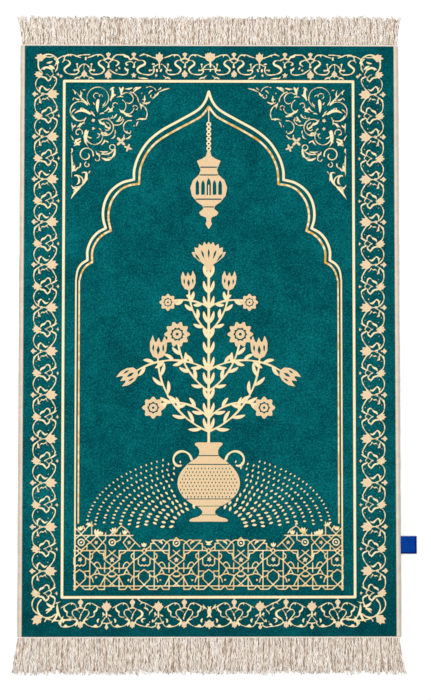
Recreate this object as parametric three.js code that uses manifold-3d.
// Prayer rug: a flat cut-pile rug with a whipped binding down each side, a yarn fringe at each end
// and a small folded label.
//
// Millimetres. +X runs across the rug, +Y from its foot towards the point of the arch, +Z up.
// The origin is on the floor, at the middle of the underside.

import * as THREE from 'three';
import { mergeVertices } from 'three/addons/utils/BufferGeometryUtils.js';
import Module from 'manifold-3d';

const wasm = await Module();
wasm.setup();

// ---------------------------------------------------------------- driving dimensions

const rugWidth = 700; // over both bindings
const rugLength = 1086; // from one fringe heading to the other
const sewingGap = 0.3; // between pieces that are sewn together
const overrun = 1; // how far a cutting shape runs past what it cuts

const pile = { height: 6, endRadius: 2.4 }; // ground cloth and pile together
const margin = { thickness: 2, underside: 1.9, lap: 4 }; // bare ground cloth held by each binding

const binding = { width: 8.4, height: 5.6 };

const label = {
  reach: 29.5, // past the edge of the binding
  caught: 3.4, // under the binding
  width: 32, // along the edge of the rug
  middleY: -377.5,
  layer: 1,
  slit: 0.4, // between the two layers
};

const heading = { depth: 3, height: 3.2, inset: 1.5 }; // inset from each side of the rug

const lock = {
  count: 140, // at each end of the rug
  rootWidth: 3.9,
  tipWidth: 2.7,
  rootHeight: 2.8,
  tipHeight: 2,
  sewnIn: 1, // length of the root inside the heading
  steps: 4, // straight stretches along a lock
};

// Each fringe: the way it points, the mean length of its locks, and how far the corner locks splay.
const fringes = [
  { name: 'fringe_top', towards: 1, length: 54, splay: 6.5 },
  { name: 'fringe_bottom', towards: -1, length: 66, splay: 11 },
];

// Waves in how the locks lie, followed from the middle of a heading to its end: how far each moves the
// locks, and its phase at the end, in radians. The slow ones keep neighbours alike and the last is ragged.
const waves = {
  lean: { size: 2, phase: 11 },
  swaySize: { size: 0.6, phase: 17 },
  swayStart: { phase: 24 },
  length: { size: 1.6, phase: 37 },
  ragged: { size: 1.8, phase: 233 },
};
const sway = { size: 1.4, phase: 5 }; // side to side along one lock
const splayPower = 9; // only the locks near the corners splay

// ---------------------------------------------------------------- materials

const materials = {
  pile: new THREE.MeshStandardMaterial({ color: 0x055c61, roughness: 0.95 }),
  binding: new THREE.MeshStandardMaterial({ color: 0xe8d3bd, roughness: 0.8 }),
  fringe: new THREE.MeshStandardMaterial({ color: 0xe1d5c8, roughness: 0.85 }),
  label: new THREE.MeshStandardMaterial({ color: 0x00338c, roughness: 0.6 }),
};

// ---------------------------------------------------------------- solids and meshes

function solidOf(geometry) {
  geometry.deleteAttribute('normal');
  geometry.deleteAttribute('uv');
  const merged = mergeVertices(geometry, 1e-4);
  const vertProperties = merged.attributes.position.array;
  const triVerts = new Uint32Array(merged.index.array);
  return new wasm.Manifold(new wasm.Mesh({ numProp: 3, vertProperties, triVerts }));
}

function geometryOf(solid) {
  const { vertProperties, triVerts } = solid.getMesh();
  const geometry = new THREE.BufferGeometry();
  geometry.setAttribute('position', new THREE.BufferAttribute(vertProperties, 3));
  geometry.setIndex(new THREE.BufferAttribute(triVerts, 1));
  geometry.computeVertexNormals();
  return geometry;
}

function namedMesh(name, solid, material) {
  const mesh = new THREE.Mesh(geometryOf(solid), material);
  mesh.name = name;
  return mesh;
}

// A section drawn across the rug (x, z), carried along Y from fromY to toY.
function runAlongY(section, fromY, toY) {
  const geometry = new THREE.ExtrudeGeometry(section, {
    depth: toY - fromY,
    bevelEnabled: false,
    curveSegments: 6,
  });
  geometry.rotateX(Math.PI / 2);
  geometry.translate(0, toY, 0);
  return solidOf(geometry);
}

// A section drawn along the rug (y, z), carried across it from -halfWidth to halfWidth.
function runAlongX(section, halfWidth) {
  const geometry = new THREE.ExtrudeGeometry(section, {
    depth: 2 * halfWidth,
    bevelEnabled: false,
    curveSegments: 6,
  });
  geometry.rotateY(Math.PI / 2);
  geometry.rotateX(Math.PI / 2);
  geometry.translate(-halfWidth, 0, 0);
  return solidOf(geometry);
}

function outline(points) {
  return new THREE.Shape(points.map(([a, b]) => new THREE.Vector2(a, b)));
}

// ---------------------------------------------------------------- rug

// Seen from an end, the rug is a slab of pile with a thin margin of ground cloth out of each side.
// Seen from a side, the pile rounds over at both ends.
function rugSolid() {
  const pileEdge = rugWidth / 2 - binding.width - sewingGap;
  const marginEdge = pileEdge + sewingGap + margin.lap;
  const marginTop = margin.underside + margin.thickness;
  const acrossSection = outline([
    [-pileEdge, 0],
    [pileEdge, 0],
    [pileEdge, margin.underside],
    [marginEdge, margin.underside],
    [marginEdge, marginTop],
    [pileEdge, marginTop],
    [pileEdge, pile.height],
    [-pileEdge, pile.height],
    [-pileEdge, marginTop],
    [-marginEdge, marginTop],
    [-marginEdge, margin.underside],
    [-pileEdge, margin.underside],
  ]);

  const end = rugLength / 2;
  const roundCentre = pile.height - pile.endRadius;
  const lengthSection = new THREE.Shape();
  lengthSection.moveTo(-end, 0);
  lengthSection.lineTo(end, 0);
  lengthSection.lineTo(end, roundCentre);
  lengthSection.absarc(end - pile.endRadius, roundCentre, pile.endRadius, 0, Math.PI / 2);
  lengthSection.absarc(pile.endRadius - end, roundCentre, pile.endRadius, Math.PI / 2, Math.PI);
  lengthSection.closePath();

  const slab = runAlongY(acrossSection, -end - overrun, end + overrun);
  return slab.intersect(runAlongX(lengthSection, rugWidth));
}

// ---------------------------------------------------------------- bindings

// A flat-bottomed round edging with a slot in its inner side for the margin of ground cloth.
// side is 1 on the right and -1 on the left.
function bindingSolid(side) {
  const inner = rugWidth / 2 - binding.width;
  const radius = binding.height / 2;
  const slotEnd = inner + margin.lap + sewingGap;
  const slotFloor = margin.underside - sewingGap;
  const slotRoof = margin.underside + margin.thickness + sewingGap;
  const section = new THREE.Shape();
  section.moveTo(inner, 0);
  section.lineTo(rugWidth / 2 - radius, 0);
  section.absarc(rugWidth / 2 - radius, radius, radius, -Math.PI / 2, Math.PI / 2);
  section.lineTo(inner, binding.height);
  section.lineTo(inner, slotRoof);
  section.lineTo(slotEnd, slotRoof);
  section.lineTo(slotEnd, slotFloor);
  section.lineTo(inner, slotFloor);
  section.closePath();

  const right = runAlongY(section, -rugLength / 2, rugLength / 2);
  return side > 0 ? right.subtract(labelNotch()) : right.mirror([1, 0, 0]);
}

// The room that the caught end of the label takes under the right binding.
function labelNotch() {
  const inner = rugWidth / 2 - label.caught - sewingGap;
  const roof = 2 * label.layer + label.slit + sewingGap;
  const halfWidth = label.width / 2 + sewingGap;
  const outer = rugWidth / 2 + overrun;
  const box = outline([
    [inner, -overrun],
    [outer, -overrun],
    [outer, roof],
    [inner, roof],
  ]);
  return runAlongY(box, label.middleY - halfWidth, label.middleY + halfWidth);
}

// ---------------------------------------------------------------- label

// A ribbon folded double: two flat layers joined by a round fold at the outer end.
function labelSolid() {
  const inner = rugWidth / 2 - label.caught;
  const height = 2 * label.layer + label.slit;
  const foldX = rugWidth / 2 + label.reach - height / 2;
  const section = new THREE.Shape();
  section.moveTo(inner, 0);
  section.lineTo(foldX, 0);
  section.absarc(foldX, height / 2, height / 2, -Math.PI / 2, Math.PI / 2);
  section.lineTo(inner, height);
  section.lineTo(inner, label.layer + label.slit);
  section.lineTo(foldX, label.layer + label.slit);
  section.lineTo(foldX, label.layer);
  section.lineTo(inner, label.layer);
  section.closePath();
  return runAlongY(section, label.middleY - label.width / 2, label.middleY + label.width / 2);
}

// ---------------------------------------------------------------- fringes

// How a lock lies. place runs from -1 at the left end of the heading to 1 at the right end.
function lieOfLock(fringe, place) {
  const wave = ({ size, phase }, start = 0) => size * Math.sin(phase * place + start);
  return {
    lean: fringe.splay * place ** splayPower + wave(waves.lean, fringe.towards),
    sway: sway.size + wave(waves.swaySize),
    swayStart: waves.swayStart.phase * place + 2 * fringe.towards,
    length: fringe.length + wave(waves.length) + wave(waves.ragged, 1),
  };
}

// One lock, drawn in plan as a narrow ribbon that tapers to its tip, then raised off the floor by a
// height that falls towards the tip. Its underside stays level on the floor.
function lockSolid(fringe, rootX, place) {
  const lie = lieOfLock(fringe, place);
  const rootY = rugLength / 2 + sewingGap + heading.depth - lock.sewnIn;
  const reach = lie.length + lock.sewnIn;
  const left = [];
  const right = [];
  for (let step = 0; step <= lock.steps; step++) {
    const t = step / lock.steps;
    const bend = Math.sin(sway.phase * t + lie.swayStart) - Math.sin(lie.swayStart);
    const x = rootX + lie.lean * t * t + lie.sway * bend * t;
    const y = rootY + reach * t;
    const halfWidth = THREE.MathUtils.lerp(lock.rootWidth, lock.tipWidth, t) / 2;
    left.push([x - halfWidth, y]);
    right.unshift([x + halfWidth, y]);
  }

  const geometry = new THREE.ExtrudeGeometry(outline([...left, ...right]), {
    depth: 1,
    bevelEnabled: false,
  });
  const position = geometry.attributes.position;
  for (let i = 0; i < position.count; i++) {
    const t = (position.getY(i) - rootY) / reach;
    position.setZ(i, position.getZ(i) * THREE.MathUtils.lerp(lock.rootHeight, lock.tipHeight, t));
  }
  return solidOf(geometry);
}

function headingSolid() {
  const innerY = rugLength / 2 + sewingGap;
  const strip = outline([
    [innerY, 0],
    [innerY + heading.depth, 0],
    [innerY + heading.depth, heading.height],
    [innerY, heading.height],
  ]);
  return runAlongX(strip, rugWidth / 2 - heading.inset);
}

// The heading with all its locks, made pointing along +Y and turned over for the foot of the rug.
function fringeSolid(fringe) {
  const halfRow = rugWidth / 2 - heading.inset - lock.rootWidth / 2 - sewingGap;
  const parts = [headingSolid()];
  for (let i = 0; i < lock.count; i++) {
    const place = (2 * i) / (lock.count - 1) - 1;
    parts.push(lockSolid(fringe, place * halfRow, place));
  }
  const whole = wasm.Manifold.union(parts);
  return fringe.towards > 0 ? whole : whole.mirror([0, 1, 0]);
}

// ---------------------------------------------------------------- the whole rug

const prayerRug = new THREE.Group();
prayerRug.name = 'prayer_rug';
prayerRug.add(namedMesh('rug', rugSolid(), materials.pile));
prayerRug.add(namedMesh('binding_left', bindingSolid(-1), materials.binding));
prayerRug.add(namedMesh('binding_right', bindingSolid(1), materials.binding));
prayerRug.add(namedMesh('label', labelSolid(), materials.label));
for (const fringe of fringes) {
  prayerRug.add(namedMesh(fringe.name, fringeSolid(fringe), materials.fringe));
}

export default prayerRug;
